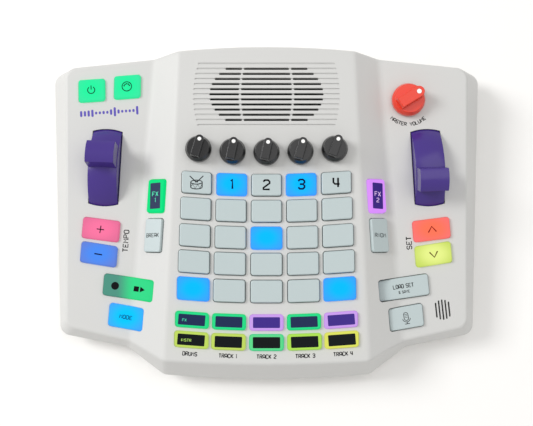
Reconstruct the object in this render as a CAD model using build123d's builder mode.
"""Electronic drum pad: a table-top beat maker in a stepped, gently tilted plastic case.

Millimetres. +X is the player's right, +Y points away from the player, +Z is up. The origin lies on
the table, below the middle of the case's bounding box.
"""
import os
from math import atan, cos, degrees, radians, sin, sqrt, tan

from build123d import *

os.makedirs("parts", exist_ok=True)

# ---------------------------------------------------------------- driving dimensions
CENTRE_TILT = 4.0        # slope of the raised middle panel, degrees, rising away from the player
WING_TILT = 5.0          # slope of the two lower wings
CENTRE_HEIGHT = 48.5     # middle panel above the table at y = 0
WING_HEIGHT = 36.7       # wings above the table at y = 0
SPLIT_HEIGHT = 16.0      # seam between the upper and the lower case
LOFT_HEIGHT = 60.0       # height to which the leaning walls are carried before the roof cuts them
FLOOR_HEIGHT = 2.0       # underside of the lower case; the feet stand below it
WALL = 2.2               # wall thickness
WALL_LEAN_FACTOR = 1.12  # horizontal thickness of a leaning wall over its true thickness
RIM_ROUND = 2.6          # rounding where the roof meets the walls
ROOF_NORMAL_Z = 0.8      # roof faces look up more than this
BLOCK_SPAN = 500.0       # size of the blocks that are cut down to the roof's shape
BLOCK_DEPTH = 150.0
CREASE_REACH = 5.0       # how near a crease lies to the place expected
SLOPE_TOP = (69.9, -0.0326)   # half width of the middle panel: at y = 0, and its change per mm of y
SLOPE_FOOT = (93.5, -0.0676)  # half width at the foot of the side slopes
SLOPE_TOP_ROUND = 8.0
SLOPE_FOOT_ROUND = 12.0

# Case outline at the seam, right half, front to back: x, y, inward lean in x and in y per mm of height
FRONT_MIDDLE = (0.0, -127.7, 0.0, 0.436)
FRONT_CORNER = (76.6, -124.1, -0.122, 0.384)
WING_INNER_CORNER = (104.4, -103.8, -0.294, 0.311)
WING_FRONT_CORNER = (155.2, -94.0, -0.566, 0.345)
WING_BACK_CORNER = (170.6, 112.0, -0.566, -0.232)
SLOPE_BACK_CORNER = (86.0, 119.5, 0.0, -0.232)
BACK_CORNER = (68.0, 124.3, -0.02, -0.232)
BACK_MIDDLE = (0.0, 127.7, 0.0, -0.232)
CORNER_ROUND = 9.0

KEY_GAP = 0.5            # gap between a key and the edge of its opening
KEY_RISE = 2.3           # key top above the panel
OPENING_RISE = 10.0      # key openings are cleared this far up, through the slope beside a key
FLANGE_TOP = 2.5         # depths below the panel surface
FLANGE_BOTTOM = 3.4
FLANGE_WIDTH = 1.3       # how far the flange stands out all round
PLUNGER_BOTTOM = 6.1
PLUNGER_RADIUS = 2.2
KEY_CORNER = 1.8
KEY_EDGE_ROUND = 0.8
SWITCH_TOP = 7.2
BOARD_TOP = 11.5
BOARD_THICKNESS = 1.6

ROW_SAG = 0.00067        # rows curve: y grows by this times x squared
PAD_ROWS = (12.7, -6.7, -26.4, -45.6, -65.2)
PAD_COLUMNS = (25.6, 51.4)        # column spacing in the back row
PAD_SPREAD = (0.325, 0.42)        # how much further out each following row stands
PAD_WIDTH = 21.7
PAD_WIDTH_GROWTH = 0.28
PAD_DEPTH = 16.0
FX_ROW_Y = -87.4
FX_COLUMNS = (0.0, 27.0, 53.7)
FX_SIZE = (23.5, 10.6)
INSTRUMENT_ROW_Y = -101.6
INSTRUMENT_COLUMNS = (0.0, 27.3, 54.0)
INSTRUMENT_SIZE = (23.8, 10.8)

# Function keys: plane, x, y, width, depth, turn of the long edges, lean of the short edges (degrees)
WING_KEYS = {
    "power_key": ("left", -133.2, 88.1, 19.5, 16.8, 4.0, -2.0),
    "midi_key": ("left", -106.2, 90.9, 19.5, 17.5, 4.5, 0.0),
    "tempo_up_key": ("left", -123.7, -18.1, 27.2, 15.1, -7.4, 3.5),
    "tempo_down_key": ("left", -124.9, -36.6, 26.5, 14.9, -9.0, 3.5),
    "record_play_key": ("left", -102.0, -61.4, 37.6, 15.3, -8.4, 4.0),
    "mode_key": ("left", -103.5, -82.9, 25.5, 16.2, -10.0, 4.0),
    "set_up_key": ("right", 123.3, -18.1, 27.2, 15.1, 7.4, -3.5),
    "set_down_key": ("right", 124.3, -36.7, 26.5, 14.9, 9.0, -3.5),
    "load_key": ("right", 101.3, -61.4, 37.6, 15.3, 8.4, -4.0),
    "mic_key": ("right", 102.8, -83.1, 25.5, 16.2, 10.0, -4.0),
}
SLOPE_KEYS = {                    # side, y
    "fx_1_key": (-1, 5.8),
    "fx_2_key": (1, 5.8),
    "freak_key": (-1, -23.4),
    "random_key": (1, -23.4),
}
SLOPE_KEY_SIZE = (14.4, 24.7)     # up the slope, along it

KNOBS = {                         # x, y on the middle panel, pointer angle clockwise from straight back
    "knob_1": (-50.2, 39.4, 16.0),
    "knob_2": (-25.0, 37.5, 12.0),
    "knob_3": (0.0, 36.9, 12.0),
    "knob_4": (25.0, 37.5, 16.0),
    "knob_5": (50.2, 39.4, 20.0),
}
KNOB_RADIUS = 9.65
VOLUME_KNOB = (107.6, 80.4, 58.0)
VOLUME_RADIUS = 12.4
KNOB_HEIGHT = 13.4
KNOB_LIFT = 0.8          # air under the knob
KNOB_SKIRT = 3.6
KNOB_SHOULDER = 3.4
KNOB_SHOULDER_TAPER = 24.0
KNOB_BAR_TAPER = 2.0
KNOB_EDGE_ROUND = 0.5
KNOB_BAR_WIDTH = 0.72    # as a share of the knob's radius
KNOB_NOSE = -0.6         # how far the pointer's nose stands out past the skirt
KNOB_TAIL = 0.78         # where the bar's square tail ends, as a share of the radius
DOT_DEPTH = 0.3
DOT_SHARE = 0.21         # the dot's radius as a share of the bar's width
SHAFT_RADIUS = 3.0
SHAFT_BOTTOM = 9.0
RUNNING_GAP = 0.06

LEVER_X = 121.5
LEVER_Y = 28.9
LEVER_LEAN = 2.3         # both levers lean towards the middle at the back, degrees
PIVOT_DEPTH = 29.0       # lever pivot below the wing surface
DRUM_RADIUS = 40.6       # at mid width
DRUM_CROWN = 1.3         # how much lower the drum is at its sides
DRUM_WIDTH = 21.6
DRUM_SPAN = 70.0         # half angle of the drum's curved skin
DRUM_SKIN = 3.0
DRUM_WEB = 2.2
DRUM_GAP = 0.75          # gap round the drum in its slot
DRUM_SIDE_GAP = 0.6
WEB_OVERLAP = 1.0        # the webs reach this far into the skin
HUB_RADIUS = 4.2
PIN_RADIUS = 2.5
PIN_REACH = 14.6
TAB_CROWN = 2.2
LEVER_TOP = 53.0         # finger tab's top from the pivot
TAB_SIZE = (20.8, 16.6)  # across and along the travel
LEFT_LEVER_ANGLE = 9.5   # rest angles, positive away from the player
RIGHT_LEVER_ANGLE = -14.2

GRILLE_Y = 81.7
GRILLE_PITCH = 3.93
GRILLE_LINES = 13
GRILLE_LINE_HALF = (51.4, 54.8)   # half length of the outermost and of the middle groove
GRILLE_OPEN = (42.8, 28.4)        # half axes of the oval inside which the grooves are cut through
GRILLE_RIB_X = 19.9
MIC_GRILLE = (130.4, -77.5)
BOSS_PLACES = ((145.0, 60.0), (141.0, -50.0), (61.0, 106.5), (81.0, -103.5))

BATTERY_BOX = (0.0, -20.0, 64.0, 58.0)   # middle x and y, inner width and depth
BATTERY_BOX_TOP = 20.3
BATTERY_WALL = 1.6
CELL_RADIUS = 7.15
CELL_LENGTH = 50.5
CELL_PITCH = 15.4
CELL_COUNT = 4
CELL_CLEARANCE = 0.4
CELL_BUTTON_RADIUS = 2.7
CELL_BUTTON_HEIGHT = 1.2
DOOR_GAP = 0.4
DOOR_GRIPS = 5
DOOR_GRIP_PITCH = 2.4
DOOR_GRIP_SIZE = (18.0, 1.2)
DOOR_GRIP_DEPTH = 0.6
DOOR_GRIP_INSET = 6.0    # the first groove's distance from the door's front edge
TAPER_INSET = 5.0        # how far the lower case draws in towards the floor
SEAM_INSET = 0.4         # the lower case stands back at the seam, which leaves a shadow line
TRAY_EDGE_ROUND = 1.6
BOSS_RADIUS = 3.8
BOSS_BOTTOM = 9.8
BOSS_OVERLAP = 1.0
STANDOFF_RADIUS = 4.4
PILOT_RADIUS = 1.5
SCREW_RADIUS = 1.45
SCREW_HEAD_RADIUS = 2.8
SCREW_HEAD_HEIGHT = 1.8
SCREW_TOP = 20.0
SCREW_CLEARANCE = 0.35
SCREW_CROSS = (3.4, 0.8)
SCREW_CROSS_DEPTH = 1.0
PILOT_SPARE = 1.0        # the pilot hole runs on past the screw's tip
COUNTERBORE_TOP = 5.0
FOOT_PLACES = ((136.0, 84.0), (128.0, -76.0))
FOOT_RADIUS = 8.0
FOOT_CHAMFER = 0.5

SPEAKER_AXES = (46.0, 29.0)       # half axes of the speaker's rim; depths below the panel follow
SPEAKER_RIM_TOP = 2.3
SPEAKER_RIM_BOTTOM = 4.2
BASKET_AXES = (41.0, 25.0)
BASKET_BACK_AXES = (19.0, 17.0)
BASKET_BOTTOM = 15.0
MAGNET_RADIUS = 16.0
MAGNET_BOTTOM = 24.0
CONE_AXES = (39.5, 23.5)
CONE_THROAT_AXES = (10.0, 9.0)
CONE_DEPTH = 12.0
DUST_CAP_RADIUS = 7.0
DUST_CAP_FOOT = 0.5      # how far the dust cap reaches into the throat's floor
DUST_CAP_HEIGHT = 4.0
DUST_CAP_TAPER = 25.0

SLOPE_POST_X = 30.8
SLOPE_POST_RADIUS = 1.6
SLOT_CUT_SPAN = 62.0
GROOVE_DEPTH = 0.6
GROOVE_WIDTH = 1.2
SLOT_WIDTH = 1.7
GRILLE_RIB = 1.3
GRILLE_RIB_BEND = 3.2
MIC_SLOT_LEAN = 5.0
MIC_SLOT_PITCH = 2.4
MIC_SLOT_LENGTH = 15.0
MIC_SLOT_WIDTH = 1.2
SWITCH_SIZE = 6.0
SWITCH_HEIGHT = 3.5
SWITCH_BUTTON_RADIUS = 1.7
BEARING_X = 13.0         # middle of each lever bearing from the lever's middle
BEARING_WIDTH = 3.0
BEARING_RADIUS = 5.0
BEARING_POST = ((-6.0, -7.2), (6.0, -7.2), (4.2, 2.0), (-4.2, 2.0))
POT_SIZE = 11.0
POT_HEIGHT = 6.3
POT_NECK_RADIUS = 4.0
POT_CORNER = 1.0
POT_CLEARANCE = 0.4      # above the neck and below the shaft
POST_RADIUS = 2.0
BOARD_CORNER = 2.0
CHIPS = ((-24.0, -92.0, 20.0, 14.0), (20.0, -92.0, 14.0, 9.0), (44.0, -92.0, 14.0, 9.0))
CHIP_HEIGHT = 2.0        # chips hang below the board: middle x and y, width, depth
MIC_RADIUS = 4.85
MIC_HEIGHT = 8.5

# ---------------------------------------------------------------- reference planes
def panel_plane(height, tilt):
    """A panel that passes over the origin at a height and rises away from the player by tilt degrees."""
    return Plane((0, 0, height), (1, 0, 0), (0, -sin(radians(tilt)), cos(radians(tilt))))


centre_plane = panel_plane(CENTRE_HEIGHT, CENTRE_TILT)
wing_plane = panel_plane(WING_HEIGHT, WING_TILT)


def half_width(edge, y):
    """Half width of the roof at one of its long edges, which draws in towards the back."""
    return edge[0] + edge[1] * y


def slope_plane(side, y):
    """Plane in the middle of a side slope at y, its x running along the slope and its z outward."""
    centre_rise = tan(radians(CENTRE_TILT))
    wing_rise = tan(radians(WING_TILT))
    top = Vector(side * half_width(SLOPE_TOP, y), y, CENTRE_HEIGHT + y * centre_rise)
    foot = Vector(side * half_width(SLOPE_FOOT, y), y, WING_HEIGHT + y * wing_rise)
    along = Vector(side * (SLOPE_TOP[1] + SLOPE_FOOT[1]) / 2, 1, (centre_rise + wing_rise) / 2)
    return Plane((top + foot) / 2, along, (top - foot).cross(along) * -side)


def spot(plane, x, y, depth=0.0, turn=0.0):
    """A plane at a place on a panel, sunk by depth and turned anticlockwise by turn degrees."""
    return Plane(plane.location * Location((x, y, -depth), (0, 0, turn)))


# ---------------------------------------------------------------- case shapes
def outline_point(corner, height, side=1):
    """A corner of the case outline at a height above the table."""
    rise = height - SPLIT_HEIGHT
    return (side * (corner[0] + corner[2] * rise), corner[1] + corner[3] * rise)


def case_outline(height, inset=0.0, level=None):
    """The case outline of a height, moved inward by inset, drawn at that height or at another level."""
    front = (FRONT_CORNER, WING_INNER_CORNER, WING_FRONT_CORNER)
    right = (*front, WING_BACK_CORNER, SLOPE_BACK_CORNER, BACK_CORNER)
    right_points = [outline_point(corner, height) for corner in right]
    left_points = [outline_point(corner, height, -1) for corner in right]
    with BuildSketch(Plane.XY.offset(height if level is None else level)) as outline:
        with BuildLine():
            ThreePointArc(left_points[0], outline_point(FRONT_MIDDLE, height), right_points[0])
            Polyline(*right_points)
            ThreePointArc(right_points[-1], outline_point(BACK_MIDDLE, height), left_points[-1])
            Polyline(*reversed(left_points))
        make_face()
        fillet(outline.vertices(), CORNER_ROUND)
        if inset:
            offset(amount=-inset, mode=Mode.REPLACE)
    return outline.sketch


def below(plane):
    """A large block whose upper side is the plane."""
    with BuildPart() as block:
        with BuildSketch(plane):
            Rectangle(BLOCK_SPAN, BLOCK_SPAN)
        extrude(amount=-BLOCK_DEPTH)
    return block.part


def upper_block(inset, rounded):
    """The upper case as a filled block, its walls and roof moved inward by inset."""
    with BuildPart() as raised:
        add(below(centre_plane.offset(-inset)))
        for side in (-1, 1):
            add(below(slope_plane(side, 0).offset(-inset)), mode=Mode.INTERSECT)
    with BuildPart() as roof:
        add(below(wing_plane.offset(-inset)))
        add(raised.part)
        if rounded:
            for height, edge_x, radius in (
                (CENTRE_HEIGHT, SLOPE_TOP[0], SLOPE_TOP_ROUND),
                (WING_HEIGHT, SLOPE_FOOT[0], SLOPE_FOOT_ROUND),
            ):
                creases = roof.edges().filter_by(
                    lambda e: abs(e.center().Z - height) < CREASE_REACH
                    and abs(abs(e.center().X) - edge_x) < CREASE_REACH
                )
                fillet(creases, radius)
    with BuildPart() as block:
        foot = case_outline(SPLIT_HEIGHT, inset * WALL_LEAN_FACTOR)
        top = case_outline(LOFT_HEIGHT, inset * WALL_LEAN_FACTOR)
        loft([foot, top], ruled=True)
        add(roof.part, mode=Mode.INTERSECT)
    return block.part


def roof_rim(block):
    """The edges where the roof faces meet the walls."""
    roofs = block.faces().filter_by(lambda f: f.normal_at().Z > ROOF_NORMAL_Z)
    roof_edges = [edge for face in roofs for edge in face.edges()]
    walls = block.faces().filter_by(lambda f: -ROOF_NORMAL_Z < f.normal_at().Z < ROOF_NORMAL_Z)
    wall_edges = [edge for face in walls for edge in face.edges()]
    return [edge for edge in roof_edges if any(edge.is_same(other) for other in wall_edges)]


# ---------------------------------------------------------------- keys
def key_outline(plane, width, depth, turn=0.0, lean=0.0, grow=0.0):
    """A key's rounded, slightly skewed outline about the plane's origin, as a sketch."""
    half_along = width / 2 + grow
    half_up = depth / 2 + grow
    along = (half_along * cos(radians(turn)), half_along * sin(radians(turn)))
    up = (half_up * sin(radians(lean)), half_up * cos(radians(lean)))
    signs = ((-1, -1), (1, -1), (1, 1), (-1, 1))
    corners = [(i * along[0] + j * up[0], i * along[1] + j * up[1]) for i, j in signs]
    with BuildSketch(plane) as outline:
        Polygon(*corners, align=None)
        fillet(outline.vertices(), KEY_CORNER + grow)
    return outline.sketch


def make_key(plane, width, depth, turn=0.0, lean=0.0):
    """A key cap, the flange that keeps it under its opening and the plunger that meets its switch."""
    with BuildPart() as key:
        base = plane.offset(-FLANGE_BOTTOM)
        extrude(key_outline(base, width, depth, turn, lean), amount=FLANGE_BOTTOM + KEY_RISE)
        fillet(key.faces().sort_by(Axis(plane.origin, plane.z_dir))[-1].edges(), KEY_EDGE_ROUND)
        flange = key_outline(base, width, depth, turn, lean, FLANGE_WIDTH)
        extrude(flange, amount=FLANGE_BOTTOM - FLANGE_TOP)
        with BuildSketch(plane.offset(-PLUNGER_BOTTOM)):
            Circle(PLUNGER_RADIUS)
        extrude(amount=PLUNGER_BOTTOM - FLANGE_BOTTOM)
    return key.part


def row_place(x, y):
    """A place in a curved row on the middle panel: its plane and the row's turn there, degrees."""
    return spot(centre_plane, x, y + ROW_SAG * x * x), degrees(atan(2 * ROW_SAG * x))


def columns(places):
    """Column positions from left to right, mirrored from the middle one outward."""
    return sorted({side * place for place in places for side in (-1, 1)})


keys = {}
for row, row_y in enumerate(PAD_ROWS):
    offsets = [0.0] + [place + spread * row for place, spread in zip(PAD_COLUMNS, PAD_SPREAD)]
    pad_width = PAD_WIDTH + PAD_WIDTH_GROWTH * row
    for column, x in enumerate(columns(offsets)):
        plane, turn = row_place(x, row_y)
        keys[f"pad_{row + 1}_{column + 1}"] = (plane, pad_width, PAD_DEPTH, turn, 0.0)
for name, (side, x, y, width, depth, turn, lean) in WING_KEYS.items():
    keys[name] = (spot(wing_plane, x, y), width, depth, turn, lean)
for name, (side, y) in SLOPE_KEYS.items():
    keys[name] = (slope_plane(side, y), SLOPE_KEY_SIZE[1], SLOPE_KEY_SIZE[0], 0.0, 0.0)
track_keys = {"fx_key_row": [], "instrument_key_row": []}
for name, row_y, places, size in (
    ("fx_key_row", FX_ROW_Y, FX_COLUMNS, FX_SIZE),
    ("instrument_key_row", INSTRUMENT_ROW_Y, INSTRUMENT_COLUMNS, INSTRUMENT_SIZE),
):
    for x in columns(places):
        plane, turn = row_place(x, row_y)
        track_keys[name].append((plane, *size, turn, 0.0))
all_keys = list(keys.values()) + [key for row in track_keys.values() for key in row]

nodes = {}
for name, key in keys.items():
    nodes[name] = make_key(*key)
for name, row in track_keys.items():
    with BuildPart() as key_row:
        for key in row:
            add(make_key(*key))
    nodes[name] = key_row.part


# ---------------------------------------------------------------- knobs
def make_knob(plane, radius):
    """A pointer knob on its shaft: round skirt, raised grip bar, shallow seat for the pointer dot."""
    bar_width = radius * KNOB_BAR_WIDTH
    nose_y = radius - bar_width / 2 + KNOB_NOSE
    with BuildPart() as knob:
        with BuildSketch(plane.offset(KNOB_LIFT)):
            Circle(radius)
        extrude(amount=KNOB_SKIRT)
        with BuildSketch(plane.offset(KNOB_LIFT + KNOB_SKIRT)):
            Circle(radius)
        extrude(amount=KNOB_SHOULDER, taper=KNOB_SHOULDER_TAPER)
        with BuildSketch(plane.offset(KNOB_LIFT + KNOB_SKIRT)) as bar:
            with Locations((0, nose_y)):
                Circle(bar_width / 2)
            with Locations((0, (nose_y - radius * KNOB_TAIL) / 2)):
                Rectangle(bar_width, nose_y + radius * KNOB_TAIL)
        extrude(amount=KNOB_HEIGHT - KNOB_SKIRT - KNOB_LIFT, taper=KNOB_BAR_TAPER)
        fillet(knob.faces().sort_by(Axis(plane.origin, plane.z_dir))[-1].edges(), KNOB_EDGE_ROUND)
        with BuildSketch(plane.offset(KNOB_HEIGHT - DOT_DEPTH)):
            with Locations((0, nose_y)):
                Circle(bar_width * DOT_SHARE)
        extrude(amount=DOT_DEPTH, mode=Mode.SUBTRACT)
        with BuildSketch(plane.offset(-SHAFT_BOTTOM)):
            Circle(SHAFT_RADIUS)
        extrude(amount=SHAFT_BOTTOM + KNOB_LIFT)
    return knob.part


knobs = {}
for name, (x, y, pointer) in KNOBS.items():
    knobs[name] = (spot(centre_plane, x, y, 0, -pointer), KNOB_RADIUS)
volume_x, volume_y, volume_pointer = VOLUME_KNOB
knobs["volume_knob"] = (spot(wing_plane, volume_x, volume_y, 0, -volume_pointer), VOLUME_RADIUS)
for name, knob in knobs.items():
    nodes[name] = make_knob(*knob)


# ---------------------------------------------------------------- levers
def lever_plane(side, angle=0.0):
    """Plane at a lever's pivot: x along the pivot axis, z through the finger tab."""
    pivot = spot(wing_plane, side * LEVER_X, LEVER_Y, PIVOT_DEPTH, side * LEVER_LEAN)
    return Plane(pivot.location * Location((0, 0, 0), (-angle, 0, 0)))


def drum_section(plane, grow, webs):
    """Section of the crowned drum in the plane of its pivot axis, as a sketch, enlarged by grow."""
    half = DRUM_WIDTH / 2 + min(grow, DRUM_SIDE_GAP)
    edge_radius = DRUM_RADIUS - DRUM_CROWN + grow
    inner_radius = DRUM_RADIUS - DRUM_SKIN if webs else DRUM_RADIUS / 2
    section_plane = Plane(plane.origin, plane.x_dir, plane.y_dir * -1)
    with BuildSketch(section_plane) as section:
        with BuildLine():
            ThreePointArc((-half, edge_radius), (0, DRUM_RADIUS + grow), (half, edge_radius))
            inner = ((half, inner_radius), (-half, inner_radius))
            Polyline((half, edge_radius), *inner, (-half, edge_radius))
        make_face()
        if webs:
            web_x = half - DRUM_WEB / 2
            web_y = inner_radius / 2 + WEB_OVERLAP
            with Locations((-web_x, web_y), (web_x, web_y)):
                Rectangle(DRUM_WEB, inner_radius)
    return section.sketch


def make_lever(side, angle):
    """A rocking lever: crowned drum skin, two side webs, hub, pivot pins and finger tab."""
    plane = lever_plane(side, angle)
    axis = Axis(plane.origin, plane.x_dir)
    across = Plane(plane.origin, plane.y_dir, plane.x_dir)
    with BuildPart() as lever:
        start = Plane(plane.location * Location((0, 0, 0), (-DRUM_SPAN, 0, 0)))
        revolve(drum_section(start, 0, True), axis, 2 * DRUM_SPAN)
        with BuildSketch(across.offset(-DRUM_WIDTH / 2)):
            Circle(HUB_RADIUS)
        extrude(amount=DRUM_WIDTH)
        with BuildSketch(across.offset(-PIN_REACH)):
            Circle(PIN_RADIUS)
        extrude(amount=2 * PIN_REACH)
        tab_width, tab_length = TAB_SIZE
        half = tab_length / 2
        foot = DRUM_RADIUS - DRUM_SKIN
        edge = LEVER_TOP - TAB_CROWN
        with BuildSketch(across.offset(-tab_width / 2)):
            with BuildLine():
                Polyline((-half, edge), (-half, foot), (half, foot), (half, edge))
                ThreePointArc((half, edge), (0, LEVER_TOP), (-half, edge))
            make_face()
        extrude(amount=tab_width)
    return lever.part


nodes["left_lever"] = make_lever(-1, LEFT_LEVER_ANGLE)
nodes["right_lever"] = make_lever(1, RIGHT_LEVER_ANGLE)


# ---------------------------------------------------------------- circuit boards and what is on them
def both_sides(points):
    """The points and their mirror images left of the middle."""
    return [(side * x, y) for side in (1, -1) for x, y in points]


MAIN_BOARD = (0.0, -33.5, 132.0, 159.0)        # middle x and y, width, depth
FRONT_BOARD = (112.5, -50.0, 45.0, 78.0)
BACK_BOARD = (120.0, 89.0, 48.0, 26.0)
SLOPE_BOARD_Y = -8.8
SLOPE_BOARD = (66.0, 13.0)
CENTRE_POSTS = both_sides([(12.5, 27.0), (37.5, 27.0), (13.5, -77.2), (40.5, -76.2), (27.0, -110.6)])
WING_POSTS = both_sides([(101.0, -30.0), (128.5, -56.5), (119.7, 89.0)])
slope_boards = [slope_plane(side, SLOPE_BOARD_Y) for side in (-1, 1)]

with BuildPart() as circuit_boards:
    with BuildSketch(centre_plane.offset(-BOARD_TOP - BOARD_THICKNESS)):
        with Locations(MAIN_BOARD[:2]):
            RectangleRounded(*MAIN_BOARD[2:], BOARD_CORNER)
    extrude(amount=BOARD_THICKNESS)
    with BuildSketch(wing_plane.offset(-BOARD_TOP - BOARD_THICKNESS)):
        for board in (FRONT_BOARD, BACK_BOARD):
            with Locations(*both_sides([board[:2]])):
                RectangleRounded(*board[2:], BOARD_CORNER)
    extrude(amount=BOARD_THICKNESS)
    for plane in slope_boards:
        with BuildSketch(plane.offset(-BOARD_TOP - BOARD_THICKNESS)):
            RectangleRounded(*SLOPE_BOARD, BOARD_CORNER / 2)
        extrude(amount=BOARD_THICKNESS)
nodes["circuit_boards"] = circuit_boards.part

key_planes = [key[0] for key in all_keys]
knob_planes = [plane for plane, _ in knobs.values()]

with BuildPart() as key_switches:
    with BuildSketch(*[plane.offset(-BOARD_TOP) for plane in key_planes]):
        Rectangle(SWITCH_SIZE, SWITCH_SIZE)
    extrude(amount=SWITCH_HEIGHT)
    with BuildSketch(*[plane.offset(-BOARD_TOP) for plane in key_planes]):
        Circle(SWITCH_BUTTON_RADIUS)
    extrude(amount=BOARD_TOP - SWITCH_TOP)
nodes["key_switches"] = key_switches.part

with BuildPart() as potentiometers:
    with BuildSketch(*[plane.offset(-BOARD_TOP) for plane in knob_planes]):
        RectangleRounded(POT_SIZE, POT_SIZE, POT_CORNER)
    extrude(amount=POT_HEIGHT)
    with BuildSketch(*[plane.offset(-BOARD_TOP) for plane in knob_planes]):
        Circle(POT_NECK_RADIUS)
    extrude(amount=BOARD_TOP - WALL - POT_CLEARANCE)
    with BuildSketch(*[plane.offset(-SHAFT_BOTTOM - POT_CLEARANCE) for plane in knob_planes]):
        Circle(SHAFT_RADIUS + RUNNING_GAP)
    extrude(amount=SHAFT_BOTTOM, mode=Mode.SUBTRACT)
nodes["potentiometers"] = potentiometers.part

with BuildPart() as board_components:
    for chip_x, chip_y, chip_width, chip_depth in CHIPS:
        with BuildSketch(centre_plane.offset(-BOARD_TOP - BOARD_THICKNESS - CHIP_HEIGHT)):
            with Locations((chip_x, chip_y)):
                Rectangle(chip_width, chip_depth)
        extrude(amount=CHIP_HEIGHT)
    with BuildSketch(wing_plane.offset(-BOARD_TOP)):
        with Locations(MIC_GRILLE):
            Circle(MIC_RADIUS)
    extrude(amount=MIC_HEIGHT)
nodes["board_components"] = board_components.part

speaker_plane = spot(centre_plane, 0, GRILLE_Y)
with BuildPart() as speaker_driver:
    with BuildSketch(speaker_plane.offset(-SPEAKER_RIM_BOTTOM)):
        Ellipse(*SPEAKER_AXES)
    extrude(amount=SPEAKER_RIM_BOTTOM - SPEAKER_RIM_TOP)
    with BuildSketch(speaker_plane.offset(-SPEAKER_RIM_BOTTOM)):
        Ellipse(*BASKET_AXES)
    with BuildSketch(speaker_plane.offset(-BASKET_BOTTOM)):
        Ellipse(*BASKET_BACK_AXES)
    loft(ruled=True)
    with BuildSketch(speaker_plane.offset(-MAGNET_BOTTOM)):
        Circle(MAGNET_RADIUS)
    extrude(amount=MAGNET_BOTTOM - BASKET_BOTTOM)
    with BuildSketch(speaker_plane.offset(-SPEAKER_RIM_TOP)):
        Ellipse(*CONE_AXES)
    with BuildSketch(speaker_plane.offset(-CONE_DEPTH)):
        Ellipse(*CONE_THROAT_AXES)
    loft(ruled=True, mode=Mode.SUBTRACT)
    with BuildSketch(speaker_plane.offset(-CONE_DEPTH - DUST_CAP_FOOT)):
        Circle(DUST_CAP_RADIUS)
    extrude(amount=DUST_CAP_HEIGHT, taper=DUST_CAP_TAPER)
nodes["speaker_driver"] = speaker_driver.part


# ---------------------------------------------------------------- upper case
def grille_lines():
    """Each groove's y on the speaker plane, its half length, and the spans cut right through."""
    reach = (GRILLE_LINES - 1) / 2 * GRILLE_PITCH
    for line in range(GRILLE_LINES):
        y = (line - (GRILLE_LINES - 1) / 2) * GRILLE_PITCH
        share = y / reach
        groove_half = GRILLE_LINE_HALF[1] - (GRILLE_LINE_HALF[1] - GRILLE_LINE_HALF[0]) * share * share
        spans = []
        if 0 < line < GRILLE_LINES - 1:
            open_half = GRILLE_OPEN[0] * sqrt(1 - (y / GRILLE_OPEN[1]) ** 2)
            rib = GRILLE_RIB_X - GRILLE_RIB_BEND * share * share
            outer = ((rib + open_half) / 2 + GRILLE_RIB / 4, open_half - rib - GRILLE_RIB / 2)
            spans = [(-outer[0], outer[1]), (0.0, 2 * rib - GRILLE_RIB), outer]
        yield y, groove_half, spans


outer_block = upper_block(0, True)
with BuildPart() as outer_shape:
    add(outer_block.fillet(RIM_ROUND, roof_rim(outer_block)))

with BuildPart() as inner_posts:
    with BuildSketch(Plane.XY.offset(SPLIT_HEIGHT)):
        with Locations(*both_sides(BOSS_PLACES)):
            Circle(BOSS_RADIUS)
    extrude(amount=LOFT_HEIGHT - SPLIT_HEIGHT)
    with BuildSketch(centre_plane.offset(-BOARD_TOP)):
        with Locations(*CENTRE_POSTS):
            Circle(POST_RADIUS)
    extrude(amount=BOARD_TOP - WALL / 2)
    with BuildSketch(wing_plane.offset(-BOARD_TOP)):
        with Locations(*WING_POSTS):
            Circle(POST_RADIUS)
    extrude(amount=BOARD_TOP - WALL / 2)
    for plane in slope_boards:
        with BuildSketch(plane.offset(-BOARD_TOP)):
            with Locations((-SLOPE_POST_X, 0), (SLOPE_POST_X, 0)):
                Circle(SLOPE_POST_RADIUS)
        extrude(amount=BOARD_TOP - WALL / 2)
    add(outer_shape.part, mode=Mode.INTERSECT)

openings = []
for plane, *shape in all_keys:
    outline = key_outline(plane.offset(-2 * WALL), *shape, KEY_GAP)
    openings.append(extrude(outline, amount=2 * WALL + OPENING_RISE))
for side in (-1, 1):
    plane = lever_plane(side)
    start = Plane(plane.location * Location((0, 0, 0), (-SLOT_CUT_SPAN, 0, 0)))
    drum_room = drum_section(start, DRUM_GAP, False)
    openings.append(revolve(drum_room, Axis(plane.origin, plane.x_dir), 2 * SLOT_CUT_SPAN))

with BuildPart() as grille_cuts:
    with BuildSketch(speaker_plane.offset(-GROOVE_DEPTH)):
        for y, groove_half, _ in grille_lines():
            with Locations((0, y)):
                SlotOverall(2 * groove_half, GROOVE_WIDTH)
    extrude(amount=WALL)
    with BuildSketch(speaker_plane.offset(-2 * WALL)):
        for y, _, spans in grille_lines():
            for x, length in spans:
                with Locations((x, y)):
                    SlotOverall(length, SLOT_WIDTH)
    extrude(amount=2 * WALL)
    with BuildSketch(spot(wing_plane, *MIC_GRILLE, 2 * WALL, MIC_SLOT_LEAN)):
        for line in range(-2, 3):
            with Locations((line * MIC_SLOT_PITCH, 0)):
                SlotOverall(MIC_SLOT_LENGTH - line * line, MIC_SLOT_WIDTH, rotation=90)
    extrude(amount=4 * WALL)

with BuildPart() as round_cuts:
    with BuildSketch(*[plane.offset(-2 * WALL) for plane in knob_planes]):
        Circle(POT_NECK_RADIUS + KEY_GAP)
    extrude(amount=4 * WALL)
    with BuildSketch(Plane.XY.offset(BOSS_BOTTOM)):
        with Locations(*both_sides(BOSS_PLACES)):
            Circle(PILOT_RADIUS)
    extrude(amount=SCREW_TOP + PILOT_SPARE - BOSS_BOTTOM)

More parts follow.
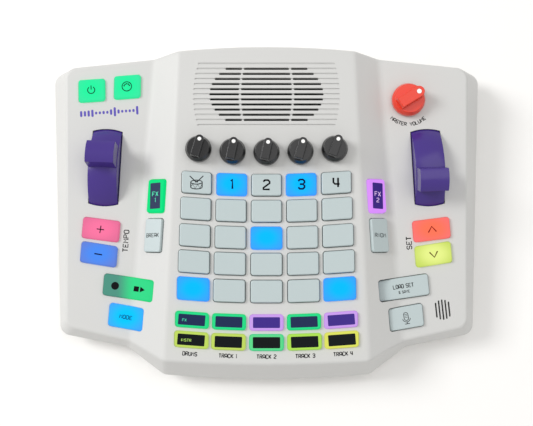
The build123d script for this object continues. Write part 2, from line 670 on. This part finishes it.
with BuildPart() as top_case:
    add(outer_shape.part)
    add(upper_block(WALL, False), mode=Mode.SUBTRACT)
    add(inner_posts.part)
    with BuildSketch(Plane.XY.offset(BOSS_BOTTOM)):
        with Locations(*both_sides(BOSS_PLACES)):
            Circle(BOSS_RADIUS)
    extrude(amount=SPLIT_HEIGHT + BOSS_OVERLAP - BOSS_BOTTOM)
    add([*openings, grille_cuts.part, round_cuts.part], mode=Mode.SUBTRACT)
nodes["top_case"] = top_case.part


# ---------------------------------------------------------------- lower case
def tray_block(inset, floor, top):
    """The lower case as a filled block, its sides moved inward by inset."""
    with BuildPart() as block:
        foot = case_outline(SPLIT_HEIGHT, TAPER_INSET + inset, floor)
        rim = case_outline(SPLIT_HEIGHT, inset, top)
        loft([foot, rim], ruled=True)
    return block.part


box_x, box_y, box_width, box_depth = BATTERY_BOX
with BuildPart() as bottom_case:
    add(tray_block(SEAM_INSET, FLOOR_HEIGHT, SPLIT_HEIGHT))
    fillet(bottom_case.faces().sort_by(Axis.Z)[0].edges(), TRAY_EDGE_ROUND)
    add(tray_block(SEAM_INSET + WALL, FLOOR_HEIGHT + WALL, SPLIT_HEIGHT), mode=Mode.SUBTRACT)
    with BuildSketch(Plane.XY.offset(FLOOR_HEIGHT + WALL / 2)):
        with Locations((box_x, box_y)):
            Rectangle(box_width + 2 * BATTERY_WALL, box_depth + 2 * BATTERY_WALL)
    extrude(amount=BATTERY_BOX_TOP + BATTERY_WALL - FLOOR_HEIGHT - WALL / 2)
    with BuildSketch(Plane.XY.offset(FLOOR_HEIGHT)):
        with Locations((box_x, box_y)):
            Rectangle(box_width, box_depth)
    extrude(amount=BATTERY_BOX_TOP - FLOOR_HEIGHT, mode=Mode.SUBTRACT)
    with BuildSketch(Plane.XY.offset(FLOOR_HEIGHT + WALL / 2)):
        with Locations(*both_sides(BOSS_PLACES)):
            Circle(STANDOFF_RADIUS)
    extrude(amount=BOSS_BOTTOM - FLOOR_HEIGHT - WALL / 2)
    for side in (-1, 1):
        pivot = lever_plane(side)
        across = Plane(pivot.origin, pivot.y_dir, pivot.x_dir)
        for end in (-1, 1):
            with BuildSketch(across.offset(end * BEARING_X - BEARING_WIDTH / 2)):
                Polygon(*BEARING_POST, align=None)
                Circle(BEARING_RADIUS)
                Circle(PIN_RADIUS + RUNNING_GAP, mode=Mode.SUBTRACT)
            extrude(amount=BEARING_WIDTH)
    with BuildSketch(Plane.XY.offset(FLOOR_HEIGHT)):
        with Locations(*both_sides(BOSS_PLACES)):
            Circle(SCREW_RADIUS + SCREW_CLEARANCE)
    extrude(amount=BOSS_BOTTOM, mode=Mode.SUBTRACT)
    with BuildSketch(Plane.XY.offset(FLOOR_HEIGHT)):
        with Locations(*both_sides(BOSS_PLACES)):
            Circle(SCREW_HEAD_RADIUS + SCREW_CLEARANCE)
    extrude(amount=COUNTERBORE_TOP - FLOOR_HEIGHT, mode=Mode.SUBTRACT)
nodes["bottom_case"] = bottom_case.part

with BuildPart() as battery_door:
    with BuildSketch(Plane.XY.offset(FLOOR_HEIGHT)):
        with Locations((box_x, box_y)):
            Rectangle(box_width - 2 * DOOR_GAP, box_depth - 2 * DOOR_GAP)
    extrude(amount=WALL)
    with BuildSketch(Plane.XY.offset(FLOOR_HEIGHT)):
        for line in range(DOOR_GRIPS):
            with Locations((box_x, box_y - box_depth / 2 + DOOR_GRIP_INSET + DOOR_GRIP_PITCH * line)):
                SlotOverall(*DOOR_GRIP_SIZE)
    extrude(amount=DOOR_GRIP_DEPTH, mode=Mode.SUBTRACT)
nodes["battery_door"] = battery_door.part

cell_z = FLOOR_HEIGHT + WALL + CELL_RADIUS + CELL_CLEARANCE
cell_places = [box_x + (place - (CELL_COUNT - 1) / 2) * CELL_PITCH for place in range(CELL_COUNT)]
with BuildPart() as battery_cells:
    with BuildSketch(Plane.XZ.offset(-box_y - CELL_LENGTH / 2)):
        with Locations(*[(x, cell_z) for x in cell_places]):
            Circle(CELL_RADIUS)
    extrude(amount=CELL_LENGTH - CELL_BUTTON_HEIGHT)
    for place, x in enumerate(cell_places):
        end_y = box_y + (CELL_LENGTH / 2 if place % 2 else CELL_BUTTON_HEIGHT - CELL_LENGTH / 2)
        with BuildSketch(Plane.XZ.offset(-end_y)):
            with Locations((x, cell_z)):
                Circle(CELL_BUTTON_RADIUS)
        extrude(amount=-CELL_BUTTON_HEIGHT if place % 2 else CELL_BUTTON_HEIGHT)
nodes["battery_cells"] = battery_cells.part

with BuildPart() as rubber_feet:
    with BuildSketch():
        with Locations(*both_sides(FOOT_PLACES)):
            Circle(FOOT_RADIUS)
    extrude(amount=FLOOR_HEIGHT)
    chamfer(rubber_feet.faces().group_by(Axis.Z)[0].edges(), FOOT_CHAMFER)
nodes["rubber_feet"] = rubber_feet.part

with BuildPart() as case_screws:
    with BuildSketch(Plane.XY.offset(COUNTERBORE_TOP - SCREW_HEAD_HEIGHT)):
        with Locations(*both_sides(BOSS_PLACES)):
            Circle(SCREW_HEAD_RADIUS)
    extrude(amount=SCREW_HEAD_HEIGHT)
    with BuildSketch(Plane.XY.offset(COUNTERBORE_TOP)):
        with Locations(*both_sides(BOSS_PLACES)):
            Circle(SCREW_RADIUS)
    extrude(amount=SCREW_TOP - COUNTERBORE_TOP)
    with BuildSketch(Plane.XY.offset(COUNTERBORE_TOP - SCREW_HEAD_HEIGHT)):
        with Locations(*both_sides(BOSS_PLACES)):
            Rectangle(*SCREW_CROSS)
            Rectangle(*reversed(SCREW_CROSS))
    extrude(amount=SCREW_CROSS_DEPTH, mode=Mode.SUBTRACT)
nodes["case_screws"] = case_screws.part

for name, part in nodes.items():
    part.label = name
    export_step(part, f"parts/{name}.step")
